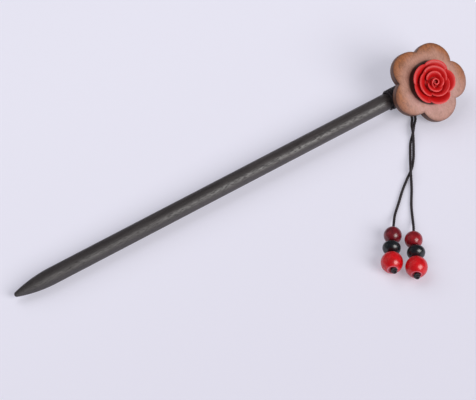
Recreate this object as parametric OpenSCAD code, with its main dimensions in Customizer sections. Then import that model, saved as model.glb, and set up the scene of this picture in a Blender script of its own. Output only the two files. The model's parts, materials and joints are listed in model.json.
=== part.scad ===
// Hair stick: a dark turned shaft with a wooden flower and a red rose at its head, and a tassel
// of two waxed strands with three beads each. It lies as it rests on a table: the shaft near its
// point, the knob behind the flower, one petal and the beads touch the table.
// Every size is in millimetres. +X runs from the point to the head, +Z is up, the table is z = 0,
// and the origin is the middle of the footprint.

/* [Shaft] */
// Diameter of the shaft
shaft_d = 6.1; // [4:0.1:8]
// Length from the point to the binding
shaft_len = 156.5; // [110:1:200]
// Length of the pointed end
point_len = 15.5; // [10:0.5:40]
// Diameter of the blunt tip
tip_d = 1.9; // [1:0.1:3]
// Depth of the neck that takes the binding
neck_depth = 0.35; // [0.2:0.05:0.9]

/* [Knob behind the flower] */
// Length of the knob
knob_len = 12.6; // [8:0.1:18]
// How much the round knob swells at its middle
knob_swell = 1; // [0.4:0.1:1.6]
// Depth of the flat that the flower is glued on
seat_cut = 1.2; // [0.6:0.1:2]

/* [Binding] */
// Diameter of the binding cord
wrap_d = 1.1; // [0.5:0.05:1.5]
// Turns of cord round the neck
wrap_turns = 8; // [4:1:14]

/* [Flower] */
// Width over opposite petals, from the centre twice
flower_d = 30; // [22:0.5:40]
// Radius of one petal
petal_r = 7; // [5.5:0.05:9]
// Thickness of the wood
flower_t = 4.5; // [3:0.1:7]
// Width of the turned rim that slopes down to the petals' ends
rim_w = 4.4; // [1:0.1:6]
// Drop of the turned rim
rim_drop = 2.6; // [0.8:0.1:3]
// Number of petals
petals = 5; // [5:1:6]
// Turn of the petals about the flower's middle
petal_turn = 87.5; // [84:0.5:92]
// How far the flower sits from the middle of the shaft, towards the low petal
flower_down = 0.4; // [0:0.1:1.5]
// Free space between the binding and the back of the flower
head_room = 0.4; // [0.3:0.05:2]

/* [Rose] */
// Width of the rose
rose_d = 16.2; // [10:0.1:18]
// Height of the rose
rose_h = 6; // [4:0.1:10]
// How far the rose sits from the flower's middle, towards the head
rose_along = 0.1; // [-2:0.1:2]
// How far the rose sits from the flower's middle, towards the low petal
rose_down = 1; // [-2:0.1:2]

/* [Tassel] */
// Diameter of a strand
strand_d = 1; // [0.6:0.05:1.4]
// Diameter of the small red beads
small_d = 6.4; // [4:0.1:8]
// Diameter of the black beads
black_d = 6.5; // [4:0.1:9]
// Length of the black beads along their hole
black_len = 5; // [3:0.1:8]
// Diameter of the big red beads
big_d = 7.9; // [5:0.1:10]
// Diameter of the hole through a bead
bore_d = 1.7; // [1.5:0.1:2]
// Diameter of the recess in a big bead that takes the knot
mouth_d = 3.2; // [2.8:0.1:4]
// Diameter of a knot
knot_d = 2.2; // [1.6:0.1:3]
// Length of a knot
knot_len = 1.8; // [1.5:0.1:3]
// How deep a knot sinks into its bead
knot_sink = 0.8; // [0:0.1:1.2]

/* [Hidden] */
// Glue line, play of the binding on the neck, and gap between a strand's end and its knot
glue_gap = 0.05;
// Free space between two beads, and between a bead and its knot
bead_gap = 0.15;
// Pitch of the binding's turns, pressed into each other a little, in cord diameters
wrap_nest = 0.96;
// How far the turned disc of the flower reaches past the petals that are cut from it
disc_spare = 0.6;
// Segments of a full circle
$fn = 72;
// Segments of each arc in an outline
arc_steps = 8;
// Sides of a strand
sides = 8;

// Radii along the shaft, from the neck outwards
shaft_r = shaft_d / 2;
tip_r = tip_d / 2;
neck_r = shaft_r - neck_depth;
wrap_in = neck_r + glue_gap;
wrap_out = wrap_in + wrap_d;
seat_h = wrap_out + head_room;
knob_r = seat_h + seat_cut;

// Places along the shaft, from the tip
wrap_pitch = wrap_nest * wrap_d;
wrap_len = (wrap_turns - 1) * wrap_pitch + wrap_d;
neck_end = shaft_len + wrap_len + 2 * glue_gap;
head_x = neck_end + knob_len / 2;

// The point is an arc that meets the shaft and the round tip without a corner
point_run = point_len - tip_r;
point_arc = (point_run^2 + shaft_r^2 - tip_r^2) / (2 * (shaft_r - tip_r));
tip_turn = atan2(point_arc - shaft_r, point_run);
knob_arc = ((knob_len / 2)^2 + knob_swell^2) / (2 * knob_swell);

// Lean of the shaft: the line that touches the point's arc and the knob's arc from below is the
// table
rise_gap = (knob_arc - knob_r) - (point_arc - shaft_r);
run_gap = head_x - point_len;
reach = sqrt(rise_gap^2 + run_gap^2);
lean = asin((knob_arc - point_arc) / reach) - atan2(rise_gap, run_gap);
tip_z = point_arc - point_len * sin(lean) - (point_arc - shaft_r) * cos(lean);
head_z = tip_z + head_x * sin(lean);

// Roll of the flower: its lowest petal comes down to the table
petal_out = flower_d / 2 - petal_r;
petal_angles = [for (i = [0:petals - 1]) petal_turn - (i + 0.5) * 360 / petals];
rim_high = seat_h + glue_gap;
rim_reach = flower_down + petal_r - petal_out * min([for (a = petal_angles) sin(a)]);
roll = atan2(rim_high, rim_reach) + asin(head_z / norm([rim_high, rim_reach]));

// Route of each strand from the binding to its first bead: round numbers chosen by hand, with
// the end of the shaft at x = 0 and the heights in strand diameters. The left strand crosses
// over the right one, then under it.
left_route = [
    [6.3, -1.5, 1.0], [6.6, -4.9, 0.8], [5.7, -8.3, 0.7], [3.2, -11.6, 1.35],
    [1.5, -14.7, 1.75], [-0.6, -18.1, 1.2], [-2.7, -21.2, 0.6], [-4.4, -23.6, 0.6],
    [-6.9, -26.5, 0.6], [-9.2, -28.5, 0.6], [-12.2, -30.6, 0.6], [-16.6, -34.0, 0.6],
    [-21.1, -38.0, 0.6], [-24.0, -40.5, 0.7], [-25.9, -42.4, 1.1], [-28.4, -45.4, 2.3],
];
right_route = [
    [7.5, -1.5, 1.0], [7.8, -5.0, 0.8], [6.7, -9.0, 0.6], [4.3, -11.6, 0.6],
    [1.7, -14.5, 0.6], [-1.6, -17.7, 0.6], [-3.7, -20.5, 0.6], [-5.8, -23.5, 1.0],
    [-8.0, -26.7, 1.55], [-9.6, -29.1, 1.75], [-11.0, -31.4, 1.15], [-13.5, -35.3, 0.6],
    [-17.3, -40.5, 0.6], [-19.5, -44.0, 0.6], [-21.5, -47.4, 1.0], [-23.8, -51.0, 2.3],
];
// First bead of each string on the table, the ways from bead to bead and on to the knot, and the
// rise of the knot
left_start = [-32.2, -50.1];
left_headings = [231, 236, 243];
left_knot_rise = 9;
right_start = [-27.2, -55.7];
right_headings = [243, 236, 234];
right_knot_rise = 1;

// Places of the strand's last free point, the three beads and the knot: each bead touches the
// table or hangs between its neighbours
black_run = small_d / 2 + bead_gap + black_len / 2;
big_run = black_len / 2 + bead_gap + big_d / 2;
string_rise = asin((big_d - small_d) / 2 / (black_run + big_run));
knot_run = big_d / 2 + bead_gap + knot_len / 2 - knot_sink;
function way(heading, rise) = [cos(heading) * cos(rise), sin(heading) * cos(rise), sin(rise)];
function laid(route) = [for (p = route) [shaft_len + p.x, p.y, strand_d * p.z]];
function string_places(route, start, headings, knot_rise) =
    let (small = [shaft_len + start.x, start.y, small_d / 2],
         black = small + black_run * way(headings[0], string_rise),
         big = black + big_run * way(headings[1], string_rise),
         knot = big + knot_run * way(headings[2], knot_rise))
    [laid(route)[len(route) - 1], small, black, big, knot];
left_places = string_places(left_route, left_start, left_headings, left_knot_rise);
right_places = string_places(right_route, right_start, right_headings, right_knot_rise);

// The footprint of all but the strands and their knots, whose middle is the origin
head_far = head_x + petal_out * max([for (a = petal_angles) cos(a)]) + petal_r;
side_high = (petal_out * max([for (a = petal_angles) sin(a)]) + petal_r - flower_down) * cos(roll)
    - rim_high * sin(roll);
side_low = min(left_places[3].y, right_places[3].y) - big_d / 2;
middle = [-head_far / 2, -(side_high + side_low) / 2, 0];

// Points of an arc about [x, y], from one angle to another
function arc(x, y, r, from, to) = [
    for (i = [0:arc_steps])
        let (a = from + (to - from) * i / arc_steps)
        [x + r * cos(a), y + r * sin(a)]
];

// A smooth curve through the points of a route, with two steps from each point to the next
function between(a, b, c, d, t) =
    0.5 * (2 * b + (c - a) * t + (2 * a - 5 * b + 4 * c - d) * t^2 + (3 * b - a - 3 * c + d) * t^3);
function smooth(p) = let (last = len(p) - 1) [
    for (i = [0:last - 1], t = [0, 0.5])
        between(p[max(i - 1, 0)], p[i], p[i + 1], p[min(i + 2, last)], t),
    p[last],
];

// Moves a shape that is drawn round the leaning shaft onto the table
module leaning() {
    translate(middle + [0, 0, tip_z]) rotate([0, -lean, 0]) children();
}

// Moves a shape that is drawn over the shaft's axis onto the seat of the rolled flower
module on_seat(height) {
    leaning() translate([head_x, 0, 0]) rotate([roll, 0, 0]) translate([0, 0, height]) children();
}

// Turns an outline, drawn as [radius, place along the shaft], round the shaft's axis
module turned() {
    leaning() rotate([90, 0, 90]) rotate_extrude() children();
}

module stick() {
    tip = arc(tip_r, 0, tip_r, 180, 180 - tip_turn);
    point = arc(point_len, shaft_r - point_arc, point_arc, 180 - tip_turn, 90);
    neck = [[shaft_len, shaft_r], [shaft_len, neck_r], [neck_end, neck_r]];
    knob_turn = asin(knob_len / 2 / knob_arc);
    knob = arc(head_x, knob_r - knob_arc, knob_arc, 90 + knob_turn, 90 - knob_turn);
    profile = concat(tip, [for (i = [1:arc_steps]) point[i]], neck, knob, [[head_x + knob_len / 2, 0]]);
    color("#3b3532") difference() {
        turned() polygon([for (p = profile) [p.y, p.x]]);
        on_seat(seat_h) translate([-knob_len, -knob_r, 0]) cube([2 * knob_len, 2 * knob_r, knob_r]);
    }
}

module binding() {
    first = shaft_len + glue_gap + wrap_d / 2;
    color("#1c191d") turned() {
        translate([wrap_in, first]) square([wrap_d / 2, (wrap_turns - 1) * wrap_pitch]);
        for (i = [0:wrap_turns - 1])
            translate([wrap_in + wrap_d / 2, first + i * wrap_pitch]) circle(d = wrap_d);
    }
}

// Round petals cut from a turned disc, whose rim slopes down towards its edge
module flower() {
    edge = flower_d / 2 + disc_spare;
    slope = [
        for (p = arc(0, 0, 1, 0, 90))
            [edge - rim_w * (1 - p.x), flower_t - rim_drop * (1 - p.y)]
    ];
    color("#b98a78") on_seat(seat_h + glue_gap) translate([0, -flower_down, 0]) intersection() {
        rotate_extrude() polygon(concat([[0, 0], [edge, 0]], slope, [[0, flower_t]]));
        translate([0, 0, -flower_t]) linear_extrude(3 * flower_t) {
            circle(petal_out);
            for (a = petal_angles) rotate(a) translate([petal_out, 0]) circle(petal_r);
        }
    }
}

// The rose's outline along one ray: rings of petals, each a crevice and then a rim.
// Columns: radius share, height share, petals in the ring, bulge share, overlap share, turn
rose_rings = [
    [0.84, 0.00, 5, 0.03, 0.00, 54],
    [0.97, 0.28, 5, 0.06, 0.03, 54],
    [1.00, 0.54, 5, 0.08, 0.05, 54],
    [0.96, 0.61, 5, 0.08, 0.05, 54],
    [0.91, 0.57, 5, 0.08, 0.05, 54],
    [0.79, 0.38, 5, 0.05, 0.05, 54],
    [0.75, 0.64, 3, 0.09, 0.06, 9],
    [0.72, 0.77, 3, 0.09, 0.07, 9],
    [0.68, 0.79, 3, 0.09, 0.07, 9],
    [0.64, 0.74, 3, 0.09, 0.07, 9],
    [0.53, 0.54, 3, 0.07, 0.06, 9],
    [0.49, 0.77, 3, 0.09, 0.07, 105],
    [0.45, 0.91, 3, 0.09, 0.07, 105],
    [0.41, 0.91, 3, 0.09, 0.07, 105],
    [0.36, 0.82, 3, 0.08, 0.06, 105],
    [0.28, 0.66, 3, 0.06, 0.04, 105],
    [0.23, 0.92, 1, 0.00, 0.04, 90],
    [0.18, 1.00, 1, 0.00, 0.04, 90],
    [0.13, 0.97, 1, 0.00, 0.03, 90],
    [0.07, 0.80, 1, 0.00, 0.02, 90],
];
// Rays of the rose
rose_cols = 60;

function rose_radius(ring, angle) =
    let (width = 360 / ring[2], along = ((angle + ring[5]) % width) / width)
    rose_d / 2 * (ring[0] - ring[3] + ring[3] * sin(180 * along) + ring[4] * (along - 0.5));

module rose() {
    rings = len(rose_rings);
    rim = [
        for (ring = rose_rings, j = [0:rose_cols - 1])
            let (angle = 360 * j / rose_cols, r = rose_radius(ring, angle))
            [r * cos(angle), r * sin(angle), rose_h * ring[1]]
    ];
    pit = [0, 0, rose_h * rose_rings[rings - 1][1]];
    walls = [
        for (i = [0:rings - 2], j = [0:rose_cols - 1])
            let (a = i * rose_cols, k = (j + 1) % rose_cols)
            each [[a + j, a + rose_cols + k, a + k], [a + j, a + rose_cols + j, a + rose_cols + k]]
    ];
    top = [
        for (j = [0:rose_cols - 1])
            let (a = (rings - 1) * rose_cols) [a + j, rings * rose_cols, a + (j + 1) % rose_cols]
    ];
    base = [[for (j = [0:rose_cols - 1]) j]];
    color("#c81f2b") on_seat(seat_h + 2 * glue_gap + flower_t)
        translate([rose_along, -flower_down - rose_down, 0])
            polyhedron(points = concat(rim, [pit]), faces = concat(walls, top, base));
}

// A strand that follows its route and runs on through its beads, up to the face of its knot
module strand(route, places) {
    out = places[4] - places[3];
    knot_face = places[4] - out / norm(out) * (knot_len / 2 + glue_gap);
    p = smooth(concat(laid(route), [places[1], places[2], places[3], knot_face]));
    last = len(p) - 1;
    rings = [
        for (i = [0:last])
            let (ahead = p[min(i + 1, last)] - p[max(i - 1, 0)],
                 side = cross(ahead, [0, 0, 1]) / norm(cross(ahead, [0, 0, 1])),
                 up = cross(side, ahead) / norm(ahead))
            for (j = [0:sides - 1])
                p[i] + strand_d / 2 * (cos(360 * j / sides) * side + sin(360 * j / sides) * up)
    ];
    skin = [
        for (i = [0:last - 1], j = [0:sides - 1])
            let (k = (j + 1) % sides)
            [i * sides + j, i * sides + k, (i + 1) * sides + k, (i + 1) * sides + j]
    ];
    start = [[for (j = [0:sides - 1]) sides - 1 - j]];
    finish = [[for (j = [0:sides - 1]) last * sides + j]];
    color("#2a2228") translate(middle)
        polyhedron(points = rings, faces = concat(skin, start, finish));
}

// Turns +Z towards a direction
module along(direction) {
    rotate([0, acos(direction.z / norm(direction)), atan2(direction.y, direction.x)]) children();
}

// Places a bead of a string and drills it, with its hole looking from what comes before it to what
// comes after
module drilled(places, i) {
    translate(middle + places[i]) along(places[i + 1] - places[i - 1]) difference() {
        children();
        cylinder(h = 2 * big_d, d = bore_d, center = true);
    }
}

module small_bead(places) {
    color("#961c28") drilled(places, 1) sphere(d = small_d);
}

// The black bead is shorter along its hole than it is wide
module black_bead(places) {
    outline = [
        for (i = [-arc_steps:arc_steps])
            let (a = 90 * i / arc_steps)
            [black_d / 2 * cos(a), black_len / 2 * sin(a)]
    ];
    color("#192028") drilled(places, 2) rotate_extrude() polygon(outline);
}

// The big bead has a recess that takes the knot
module big_bead(places) {
    color("#c81423") drilled(places, 3) difference() {
        sphere(d = big_d);
        translate([0, 0, knot_run - knot_len / 2 - bead_gap]) cylinder(h = big_d, d = mouth_d);
    }
}

// A knot of two turns of the strand side by side
module knot(places) {
    turn_r = strand_d / 2;
    core_r = knot_d / 2 - turn_r;
    color("#2a2228") translate(middle + places[4]) along(places[4] - places[3]) rotate_extrude() {
        translate([0, -knot_len / 2]) square([core_r, knot_len]);
        for (side = [-1, 1]) translate([core_r, side * (knot_len / 2 - turn_r)]) circle(turn_r);
    }
}

module thread_left() { strand(left_route, left_places); }
module bead_left_small() { small_bead(left_places); }
module bead_left_black() { black_bead(left_places); }
module bead_left_big() { big_bead(left_places); }
module knot_left() { knot(left_places); }

module thread_right() { strand(right_route, right_places); }
module bead_right_small() { small_bead(right_places); }
module bead_right_black() { black_bead(right_places); }
module bead_right_big() { big_bead(right_places); }
module knot_right() { knot(right_places); }

stick();
binding();
flower();
rose();
thread_left();
thread_right();
bead_left_small();
bead_left_black();
bead_left_big();
knot_left();
bead_right_small();
bead_right_black();
bead_right_big();
knot_right();
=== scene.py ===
"""Hair stick: a dark stained shaft, a wooden flower, a carved rose and a tassel of waxed cord with beads."""
import json
import logging
import math
from collections.abc import Callable, Iterable, Sequence
from dataclasses import dataclass, field
from enum import Enum

import bmesh
import bpy
import numpy
from mathutils import Matrix, Vector


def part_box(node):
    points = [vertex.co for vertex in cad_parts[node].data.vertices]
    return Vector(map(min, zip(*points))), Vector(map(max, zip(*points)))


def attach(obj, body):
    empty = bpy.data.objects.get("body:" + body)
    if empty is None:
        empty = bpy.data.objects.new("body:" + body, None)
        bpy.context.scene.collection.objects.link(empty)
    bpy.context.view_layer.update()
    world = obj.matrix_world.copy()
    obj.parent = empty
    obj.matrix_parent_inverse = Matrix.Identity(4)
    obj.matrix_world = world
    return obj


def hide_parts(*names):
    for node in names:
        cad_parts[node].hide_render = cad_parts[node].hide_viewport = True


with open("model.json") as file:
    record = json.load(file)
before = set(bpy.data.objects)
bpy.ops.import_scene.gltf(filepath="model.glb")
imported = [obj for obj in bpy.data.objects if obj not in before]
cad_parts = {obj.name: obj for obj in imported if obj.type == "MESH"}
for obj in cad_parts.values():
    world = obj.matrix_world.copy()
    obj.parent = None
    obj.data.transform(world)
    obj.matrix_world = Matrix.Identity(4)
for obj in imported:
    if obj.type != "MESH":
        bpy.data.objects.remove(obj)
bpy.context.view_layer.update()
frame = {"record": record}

LOG = logging.getLogger("hair_stick")
MM = 0.001
BODY = "root"

Colour = tuple[float, float, float]
Point = tuple[float, float, float]
Outline = list[tuple[float, float]]
Faces = list[tuple[int, ...]]
Shell = tuple[list[Vector], Faces]


# Node graphs


def math_method(operation: str, swapped: bool = False) -> Callable[..., "Socket"]:
    """A method for a socket that adds a Math node.

    Args:
        operation: The node's operation.
        swapped: Whether the other value comes first, as in a reflected operator.

    Returns:
        The method, which takes the other value where the operation has one.
    """

    def method(self: "Socket", *others: "Socket | float") -> "Socket":
        """The node's result."""
        values = (*others, self) if swapped else (self, *others)
        return self.graph.node("ShaderNodeMath", {"operation": operation}, values)

    return method


class Socket:
    """A node's output that takes part in arithmetic.

    A comparison gives one where it holds and nought elsewhere, and angles are in radians.
    """

    __add__, __radd__ = math_method("ADD"), math_method("ADD", swapped=True)
    __sub__, __rsub__ = math_method("SUBTRACT"), math_method("SUBTRACT", swapped=True)
    __mul__, __rmul__ = math_method("MULTIPLY"), math_method("MULTIPLY", swapped=True)
    __truediv__, __rtruediv__ = math_method("DIVIDE"), math_method("DIVIDE", swapped=True)
    __gt__, __lt__ = math_method("GREATER_THAN"), math_method("LESS_THAN")
    at_least, at_most = math_method("MAXIMUM"), math_method("MINIMUM")
    root, cosine, sine = math_method("SQRT"), math_method("COSINE"), math_method("SINE")

    def __init__(self, graph: "Graph", link: bpy.types.NodeSocket) -> None:
        """Keeps the graph and the socket that it wraps."""
        self.graph = graph
        self.link = link

    def also(self, name: str) -> "Socket":
        """Another output of the same node."""
        return Socket(self.graph, self.link.node.outputs[name])

    def ramp(self, start: float, end: float, low: float = 0.0, high: float = 1.0) -> "Socket":
        """A smooth step of this value.

        Args:
            start: The value at which the result is low.
            end: The value at which the result is high.
            low: The result before start.
            high: The result after end.

        Returns:
            The stepped value.
        """
        settings = {"interpolation_type": "SMOOTHSTEP"}
        return self.graph.node("ShaderNodeMapRange", settings, (self, start, end, low, high))


class Graph:
    """A node tree, and the one method that adds nodes to it."""

    def __init__(self, tree: bpy.types.NodeTree) -> None:
        """Keeps the tree."""
        self.tree = tree

    def feed(self, target: bpy.types.NodeSocket, value: object) -> None:
        """Links a socket to a node's input, or sets the input to a plain value."""
        if isinstance(value, Socket):
            self.tree.links.new(value.link, target)
        elif target.type == "RGBA":
            target.default_value = (*value, 1.0)
        else:
            target.default_value = value

    def node(
        self,
        kind: str,
        settings: dict[str, object] | None = None,
        values: Sequence[object] | dict[str, object] = (),
    ) -> Socket:
        """Adds a node.

        Args:
            kind: The node's type.
            settings: Its settings, which are set first.
            values: Its inputs' values or links, in order or by name.

        Returns:
            The node's first output in use.
        """
        made = self.tree.nodes.new(kind)
        for name, value in (settings or {}).items():
            setattr(made, name, value)
        inputs = [s for s in made.inputs if s.enabled]
        if isinstance(values, dict):
            pairs = [(next(s for s in inputs if s.name == name), value) for name, value in values.items()]
        else:
            pairs = zip(inputs, values)
        for target, value in pairs:
            self.feed(target, value)
        return Socket(self, next(s for s in made.outputs if s.enabled))

    def vector(self, operation: str, *values: object) -> Socket:
        """A Vector Math node on the given vectors."""
        return self.node("ShaderNodeVectorMath", {"operation": operation}, values)

    def scaled(self, vector: Socket, factor: "Socket | float") -> Socket:
        """A vector times a number."""
        values = {"Vector": vector, "Scale": factor}
        return self.node("ShaderNodeVectorMath", {"operation": "SCALE"}, values)


class Paint(Graph):
    """A material's node tree."""

    def mix(self, share: "Socket | float", first: object, second: object) -> Socket:
        """A colour between two others, by a share from 0 to 1."""
        return self.node("ShaderNodeMix", {"data_type": "RGBA"}, (share, first, second))

    def own(self, move: Matrix | None = None) -> Socket:
        """Coordinates on the piece in metres, in the row's frame or in another."""
        where = self.node("ShaderNodeTexCoord").also("Object")
        if move is None:
            return where
        values = (where, move.translation, move.to_euler(), (1, 1, 1))
        return self.node("ShaderNodeMapping", {"vector_type": "TEXTURE"}, values)

    def axis(self, name: str, move: Matrix | None = None) -> Socket:
        """One coordinate on the piece, by its letter."""
        return self.node("ShaderNodeSeparateXYZ", None, (self.own(move),)).also(name)

    def reach(self, move: Matrix) -> Socket:
        """The distance from the Z axis of a frame."""
        return self.vector("LENGTH", self.vector("MULTIPLY", self.own(move), (1.0, 1.0, 0.0)))

    def stored(self, name: str, output: str = "Fac") -> Socket:
        """A value that is stored on the piece's points."""
        return self.node("ShaderNodeAttribute", {"attribute_name": name}).also(output)

    def noise(self, where: Socket, detail: float, rough: float, bend: float = 0.0) -> Socket:
        """Noise with cells one unit wide, from about 0.3 to 0.7."""
        values = {"Vector": where, "Scale": 1.0, "Detail": detail, "Roughness": rough, "Distortion": bend}
        return self.node("ShaderNodeTexNoise", None, values)

    def grain(self, size: Point, move: Matrix | None = None, detail: float = 2.0, rough: float = 0.5,
              bend: float = 0.0) -> Socket:
        """Noise in the piece's own space.

        Args:
            size: The size of its cells along each axis, in metres.
            move: The frame that it is centred and turned in, or None for the row's own.
            detail: How many finer layers it has.
            rough: How strong the finer layers are.
            bend: How much it swirls.

        Returns:
            The noise, from about 0.3 to 0.7.
        """
        return self.noise(self.vector("DIVIDE", self.own(move), size), detail, rough, bend)

    def bump(self, height: Socket, depth: float, strength: float) -> Socket:
        """A normal for a relief of the given depth in metres, by a share of its strength."""
        return self.node("ShaderNodeBump", None, {"Strength": strength, "Distance": depth, "Height": height})


class Tree(Graph):
    """A Geometry Nodes tree with named inputs, which ends in Realize Instances and Set Material."""

    def __init__(self, name: str) -> None:
        """Makes an empty tree with a geometry input."""
        super().__init__(bpy.data.node_groups.new(name, "GeometryNodeTree"))
        self.entry = self.tree.nodes.new("NodeGroupInput")
        self.identifiers: dict[str, str] = {}
        self.geometry = self._open("Geometry", "NodeSocketGeometry")

    def _open(self, name: str, kind: str) -> Socket:
        """Adds an input of a socket type to the tree."""
        made = self.tree.interface.new_socket(name, in_out="INPUT", socket_type=kind)
        self.identifiers[name] = made.identifier
        return Socket(self, self.entry.outputs[name])

    def size(self, name: str) -> Socket:
        """A named input for a number."""
        return self._open(name, "NodeSocketFloat")

    def count(self, name: str) -> Socket:
        """A named input for a whole number."""
        return self._open(name, "NodeSocketInt")

    def store(self, shape: Socket, name: str, value: Socket, kind: str = "FLOAT") -> Socket:
        """Stores a value on a shape's points, for its finish to read."""
        values = {"Geometry": shape, "Name": name, "Value": value}
        return self.node("GeometryNodeStoreNamedAttribute", {"data_type": kind, "domain": "POINT"}, values)

    def close(self, shape: Socket) -> None:
        """Ends the tree: smooth shading, real instances and the material."""
        material = self._open("Finish", "NodeSocketMaterial")
        shape = self.node("GeometryNodeSetShadeSmooth", None, (shape,))
        shape = self.node("GeometryNodeRealizeInstances", None, (shape,))
        shape = self.node("GeometryNodeSetMaterial", None, {"Geometry": shape, "Material": material})
        self.tree.interface.new_socket("Geometry", in_out="OUTPUT", socket_type="NodeSocketGeometry")
        self.tree.links.new(shape.link, self.tree.nodes.new("NodeGroupOutput").inputs[0])

    def bake(self, piece: bpy.types.Object, finish: bpy.types.Material, values: dict[str, float]) -> None:
        """Runs the tree on a piece and keeps the result as its plain mesh.

        Args:
            piece: The object whose mesh goes in.
            finish: The material of the result.
            values: A value for each named input.
        """
        modifier = piece.modifiers.new(self.tree.name, "NODES")
        modifier.node_group = self.tree
        for name, value in {**values, "Finish": finish}.items():
            modifier[self.identifiers[name]] = value
        baked(piece)


# Meshes


def new_piece(
    name: str,
    points: Iterable[Sequence[float]],
    faces: Iterable[Sequence[int]],
    finish: bpy.types.Material | None = None,
    edges: Iterable[tuple[int, int]] = (),
) -> bpy.types.Object:
    """Makes an object from points and faces in the row's frame.

    Args:
        name: The object's name.
        points: Its vertices, in metres.
        faces: Its faces, as vertex numbers.
        finish: Its material.
        edges: Loose edges, for a path.

    Returns:
        The new object, at the origin.
    """
    mesh = bpy.data.meshes.new(name)
    mesh.from_pydata([tuple(p) for p in points], list(edges), list(faces))
    mesh.shade_smooth()
    if finish is not None:
        mesh.materials.append(finish)
    piece = bpy.data.objects.new(name, mesh)
    bpy.context.scene.collection.objects.link(piece)
    return piece


def baked(piece: bpy.types.Object) -> None:
    """Turns a piece's modifiers into its plain mesh."""
    shape = piece.evaluated_get(bpy.context.evaluated_depsgraph_get())
    mesh = bpy.data.meshes.new_from_object(shape)
    piece.modifiers.clear()
    piece.data = mesh
    mesh.name = piece.name


def tidied(piece: bpy.types.Object, merge: float = 0.0) -> None:
    """Merges doubles and turns the faces outwards."""
    work = bmesh.new()
    work.from_mesh(piece.data)
    if merge > 0:
        bmesh.ops.remove_doubles(work, verts=work.verts, dist=merge)
    bmesh.ops.recalc_face_normals(work, faces=work.faces)
    work.to_mesh(piece.data)
    work.free()


def keep_values(piece: bpy.types.Object, name: str, values: Sequence[float]) -> None:
    """Stores a value on each of a piece's points, for its finish to read."""
    kept = piece.data.attributes.new(name, "FLOAT", "POINT")
    kept.data.foreach_set("value", list(values))


def polar(radius: float, angle: float, height: float) -> Vector:
    """A point at a radius, an angle in radians and a height on the Z axis."""
    return Vector((radius * math.cos(angle), radius * math.sin(angle), height))


def set_along(centre: Vector, along: Vector) -> Matrix:
    """A frame at a point, whose Z axis has the given direction."""
    return Matrix.Translation(centre) @ along.to_track_quat("Z", "Y").to_matrix().to_4x4()


def line_of(count: int) -> list[tuple[int, int]]:
    """The edges that join points into one line."""
    return [(i, i + 1) for i in range(count - 1)]


def arc(centre: tuple[float, float], radius: float, start: float, end: float, steps: int) -> Outline:
    """Points of an arc.

    Args:
        centre: Its centre.
        radius: Its radius.
        start: The angle at its start, in degrees.
        end: The angle at its end, in degrees.
        steps: How many chords it has.

    Returns:
        The points, both ends included.
    """
    angles = [math.radians(start + (end - start) * i / steps) for i in range(steps + 1)]
    return [(centre[0] + radius * math.cos(a), centre[1] + radius * math.sin(a)) for a in angles]


def rings_to_faces(rings: int, columns: int, loop: bool = False) -> Faces:
    """The faces between rings of points that close on themselves.

    Args:
        rings: How many rings there are.
        columns: How many points each ring has.
        loop: Whether the last ring joins the first.

    Returns:
        Four-sided faces.
    """
    faces = []
    for i in range(rings if loop else rings - 1):
        low, high = i * columns, (i + 1) % rings * columns
        for j in range(columns):
            k = (j + 1) % columns
            faces.append((low + j, low + k, high + k, high + j))
    return faces


def through(points: Sequence[Vector], steps: int) -> list[Vector]:
    """A smooth curve through points, as a Catmull-Rom spline.

    Args:
        points: The points that it passes.
        steps: How many chords it has from each point to the next.

    Returns:
        The curve's points.
    """
    last = len(points) - 1
    curve = []
    for i in range(last):
        a, b = points[max(i - 1, 0)], points[i]
        c, d = points[i + 1], points[min(i + 2, last)]
        for t in (s / steps for s in range(steps)):
            bend = (2 * a - 5 * b + 4 * c - d) * t**2 + (3 * b - a - 3 * c + d) * t**3
            curve.append(0.5 * (2 * b + (c - a) * t + bend))
    return [*curve, points[last]]


def stand_for(piece: bpy.types.Object, node: str) -> None:
    """Puts a piece in the place of a CAD node and reports it."""
    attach(piece, BODY)
    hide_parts(node)
    LOG.info("%s stands for %s: %d faces", piece.name, node, len(piece.data.polygons))


# The shared layout


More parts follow.
